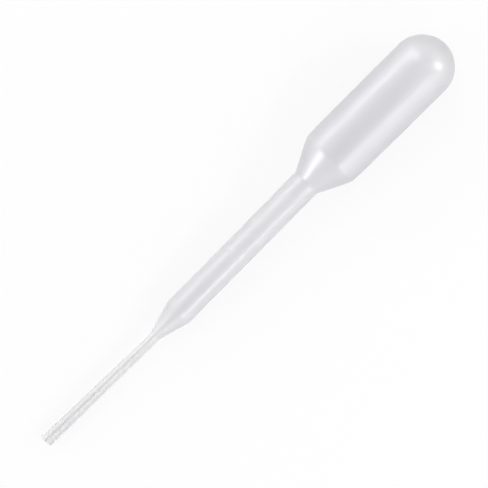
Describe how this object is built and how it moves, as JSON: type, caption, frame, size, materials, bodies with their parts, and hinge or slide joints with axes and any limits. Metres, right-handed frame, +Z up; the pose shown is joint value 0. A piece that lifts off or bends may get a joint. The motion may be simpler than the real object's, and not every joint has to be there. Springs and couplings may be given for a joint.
{
  "type": "plastic dropper pipette",
  "caption": "One-piece squeeze-bulb dropper pipette in translucent natural plastic, with a round-ended bulb, a straight stem and a fine open tip, lying on its side.",
  "frame": {"origin": "bottom centre of the box around the part as it lies at rest, on the surface that it lies on", "axes": "+Z up; +X from the open tip towards the squeeze bulb, level; the part is the same on both sides of the plane Y = 0, and its own axis rises about 3.5 degrees from the tip to the bulb"},
  "size_m": [0.065, 0.0074, 0.0083],
  "materials": {
    "natural_polyethylene": "satin, translucent, uncoloured low-density polyethylene"
  },
  "bodies": {
    "root": {"pipette_body": "natural_polyethylene"}
  },
  "joints": []
}
